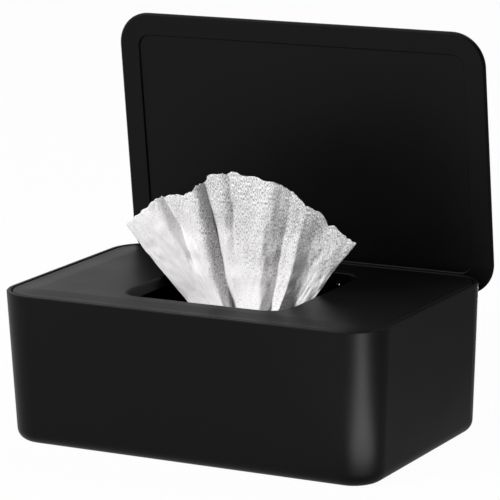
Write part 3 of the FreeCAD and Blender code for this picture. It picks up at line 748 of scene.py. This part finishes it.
@dataclass
class RefillStack:
    """The refill: thin folded wipes laid on each other, with their folds at the front and back by turns.

    Lengths are in millimetres. Each wipe is set back, cut short and shifted by random lengths within
    setback, shortfall and shift. Its number is added to the length seed and to the sway's seed.
    """

    count: int = 26
    half_x: float = 79.4
    half_y: float = 47.4
    floor_level: float = 3.25
    top_level: float = 43.55
    ply: float = 0.38
    fold_share: float = 0.9
    setback: Span = (0.0, 1.4)
    shortfall: Span = (1.0, 3.0)
    shift: Span = (-0.5, 0.5)
    length_seed: int = 100
    sway: Ripple = Ripple((2, 5), 0.35, 200)
    ripple: Ripple = Ripple((5, 8), 0.12, 7)
    ply_rows: int = 18
    fold_steps: tuple[float, float, int] = (0.1, 0.9, 8)
    columns: int = 30

    def layer(self, place: int) -> tuple[np.ndarray, np.ndarray]:
        """One folded wipe: two plies joined by a round fold along one long edge.

        A profile runs from the lower open edge to the fold, round a half circle and back over itself,
        and is carried along the box. Its two open edges and its fold lie a little unevenly.

        Args:
            place: Number of the layer from the bottom.

        Returns:
            Arrays of shape (rows, columns, 3) and (rows, columns, 2), in metres.
        """
        pitch = (self.top_level - self.floor_level) / self.count
        radius = (pitch - 2 * self.ply) / 2 * self.fold_share
        low = self.floor_level + place * pitch + pitch / 2 - radius
        random = np.random.default_rng(self.length_seed + place)
        reach = self.half_y - radius - random.uniform(*self.setback)
        straight = 2 * self.half_y - random.uniform(*self.shortfall)
        turn = np.pi * radius
        ply_run = np.linspace(0.0, straight, self.ply_rows)
        fold_run = straight + turn * np.linspace(*self.fold_steps)
        run = np.concatenate([ply_run, fold_run, straight + turn + ply_run])
        angle = np.clip((run - straight) / radius, 0.0, np.pi)
        back = np.clip(run - straight - turn, 0.0, None)
        y = reach - straight + np.minimum(run, straight) + radius * np.sin(angle) - back
        z = low + radius * (1 - np.cos(angle))
        x = np.linspace(-self.half_x, self.half_x, self.columns) + random.uniform(*self.shift)
        shape = (len(run), self.columns)
        sway = replace(self.sway, seed=self.sway.seed + place).over(shape)
        side = 1 if place % 2 else -1
        full_x = np.broadcast_to(x[None, :] * side, shape)
        full_y = side * (y[:, None] + sway)
        points = np.stack([full_x, full_y, z[:, None] + self.ripple.over(shape)], axis=-1)
        flat = np.stack(np.broadcast_arrays(x[None, :], run[:, None]), axis=-1)
        return points * MM, flat * MM

    def build(self, finish: bpy.types.Material) -> list[bpy.types.Object]:
        """Make every folded wipe, dress it and tie it to the tub.

        Args:
            finish: The cloth's material.

        Returns:
            The finished pieces, from the bottom up.
        """
        pieces: list[bpy.types.Object] = []
        for place in range(self.count):
            points, flat = self.layer(place)
            piece = grid_piece(f"stack_wipe_{place + 1:02d}", points, flat)
            piece.data.materials.append(finish)
            thicken(piece, self.ply)
            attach(piece, Body.TUB.value)
            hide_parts("wipe_stack")
            pieces.append(piece)
        return pieces


# Studio and camera


@dataclass(frozen=True)
class SoftLamp:
    """Rectangular lamp that the camera doesn't see: lengths in metres and power in watts.

    The turn is about the vertical, in degrees, for a lamp that points straight up.
    """

    name: str
    place: Triple
    aim: Triple
    size: Span
    power: float
    turn: float = 0.0

    def build(self) -> bpy.types.Object:
        """Make the lamp and point it at its aim.

        Returns:
            The lamp.
        """
        light = bpy.data.lights.new(self.name, "AREA")
        light.shape = "RECTANGLE"
        light.size, light.size_y = self.size
        light.energy = self.power
        lamp = bpy.data.objects.new(self.name, light)
        aimed = (Vector(self.aim) - Vector(self.place)).to_track_quat("-Z", "Y").to_matrix()
        turned = Matrix.Rotation(radians(self.turn), 3, "Z") @ aimed
        lamp.matrix_world = Matrix.Translation(self.place) @ turned.to_4x4()
        lamp.visible_camera = False
        bpy.context.scene.collection.objects.link(lamp)
        return lamp


@dataclass
class Studio:
    """Pale floor, white surroundings and soft lamps.

    The object's glossy faces mirror a light floor whose light falls off to the right over the mirrored
    span. The surroundings go from their light side to their dark side over the world's span.
    """

    floor_half: float = 3.0
    floor_colour: Triple = (0.60, 0.60, 0.60)
    straight_share: float = 0.97
    mirrored_share: float = 0.80
    mirrored_span: Span = (0.05, 0.15)
    mirrored_light: Span = (0.95, 0.20)
    world_strength: float = 0.12
    world_span: Span = (-0.6, 0.6)
    world_light: Span = (1.0, 0.1)
    world_lean: float = 0.25
    lamps: tuple[SoftLamp, ...] = (
        SoftLamp("key", (-0.72, -1.24, 1.05), (0.0, 0.0, 0.09), (0.55, 0.55), 37.5),
        SoftLamp("top", (-0.2, -0.2, 1.4), (0.0, 0.0, 0.05), (0.8, 0.8), 1.2),
        SoftLamp("over_back", (0.18, 0.67, 1.10), (0.0, 0.0, 0.09), (0.6, 0.6), 8.0),
        SoftLamp("back_card", (-0.06, 0.31, 0.002), (-0.06, 0.31, 1.0), (0.20, 0.24), 1.1),
        SoftLamp("low_card", (0.27, -0.20, 0.002), (0.27, -0.20, 1.0), (0.42, 0.07), 1.25, turn=-39.0),
    )

    def build(self) -> None:
        """Make the floor, the world and the lamps."""
        self.floor()
        self.world()
        for lamp in self.lamps:
            lamp.build()

    def floor(self) -> None:
        """Pale floor that shows white to the camera and keeps the object's shadow."""
        half = self.floor_half
        front = [[-half, -half, 0.0], [half, -half, 0.0]]
        rear = [[-half, half, 0.0], [half, half, 0.0]]
        points = np.array([front, rear])
        piece = grid_piece("studio_floor", points, points[..., :2])
        board = ShaderBoard("pale_floor")
        matte = board.feed(board.node("BsdfDiffuse"), Color=(*self.floor_colour, 1.0))
        straight, glossy = board.rays()
        place = board.feed(board.node("SeparateXYZ"), Vector=board.object_place())
        mirrored = board.ramp(place.outputs["X"], self.mirrored_span, to=self.mirrored_light)
        strength = board.math("MAXIMUM", straight, mirrored)
        white = board.feed(board.node("Emission"), Color=(1.0, 1.0, 1.0, 1.0), Strength=strength)
        seen = board.math("MULTIPLY", straight, self.straight_share)
        share = board.math("MAXIMUM", seen, board.math("MULTIPLY", glossy, self.mirrored_share))
        piece.data.materials.append(board.finish(board.mixed(share, matte, white)))

    def world(self) -> None:
        """Soft white surroundings that are darker to the right, seen as plain white by the camera."""
        world = bpy.data.worlds.new("studio_world")
        bpy.context.scene.world = world
        board = ShaderBoard(world=world)
        heading = board.feed(board.node("SeparateXYZ"), Vector=board.node("TexCoord").outputs["Generated"])
        leaning = board.math("MULTIPLY", heading.outputs["Y"], self.world_lean)
        turned = board.math("ADD", heading.outputs["X"], leaning)
        side = board.ramp(turned, self.world_span, to=self.world_light)
        straight, glossy = board.rays()
        mirrored = board.math("MULTIPLY", glossy, side)
        around = board.math("MULTIPLY", side, self.world_strength)
        strength = board.math("MAXIMUM", board.math("MAXIMUM", straight, mirrored), around)
        light = board.feed(board.node("Background"), Color=(1.0, 1.0, 1.0, 1.0), Strength=strength)
        board.finish(light)


@dataclass
class PhotoCamera:
    """Long lens a little above the deck, off the front right corner.

    Angles are in degrees and lengths in metres. The focal length and the optical middle are in pixels of
    a square picture.
    """

    azimuth: float = 29.168
    elevation: float = 11.865
    roll: float = -1.0592
    distance: float = 1.42919
    target: Triple = (0.0, 0.0, 0.100641)
    focal_pixels: float = 3195.076
    middle: Span = (241.222, 217.690)
    picture: float = 500.0
    sensor: float = 36.0
    nearest: float = 0.05

    def build(self) -> bpy.types.Object:
        """Place the camera and make it the scene's own.

        Returns:
            The camera.
        """
        turn, tilt, roll = radians(self.azimuth), radians(self.elevation), radians(self.roll)
        ahead = Vector((-sin(turn) * cos(tilt), cos(turn) * cos(tilt), -sin(tilt)))
        right = Vector((cos(turn), sin(turn), 0.0))
        upward = right.cross(ahead)
        right, upward = right * cos(roll) + upward * sin(roll), upward * cos(roll) - right * sin(roll)
        place = Vector(self.target) - ahead * self.distance
        lens = bpy.data.cameras.new("photo_camera")
        lens.sensor_width = self.sensor
        lens.lens = self.focal_pixels * self.sensor / self.picture
        lens.shift_x = 0.5 - self.middle[0] / self.picture
        lens.shift_y = self.middle[1] / self.picture - 0.5
        lens.clip_start = self.nearest
        camera = bpy.data.objects.new("photo_camera", lens)
        axes = Matrix((right, upward, -ahead)).transposed().to_4x4()
        camera.matrix_world = Matrix.Translation(place) @ axes
        bpy.context.scene.collection.objects.link(camera)
        bpy.context.scene.camera = camera
        return camera


def main() -> None:
    """Build the camera, the studio and the dispenser's pieces, and log the dressed nodes, the stack and the
    wipe.
    """
    logging.basicConfig(level=logging.INFO, format="%(message)s")
    bpy.context.scene.view_settings.view_transform = "Standard"
    PhotoCamera().build()
    Studio().build()
    LOG.info("dressed %s", ", ".join(Housing().dress()))
    # The stack's wipes get no painted fold shade, and fewer thin places at the right.
    folded = NonwovenCloth("folded_nonwoven", more_at_right=-0.05, more_at_end=0.0, painted_shade_in_fold=0.0)
    layers = RefillStack().build(folded.make())
    LOG.info("stack of %d folded wipes", len(layers))
    wipe = PleatedWipe().build(NonwovenCloth().make())
    LOG.info("%s with %d vertices", wipe.name, len(wipe.data.vertices))


if __name__ == "__main__":
    main()
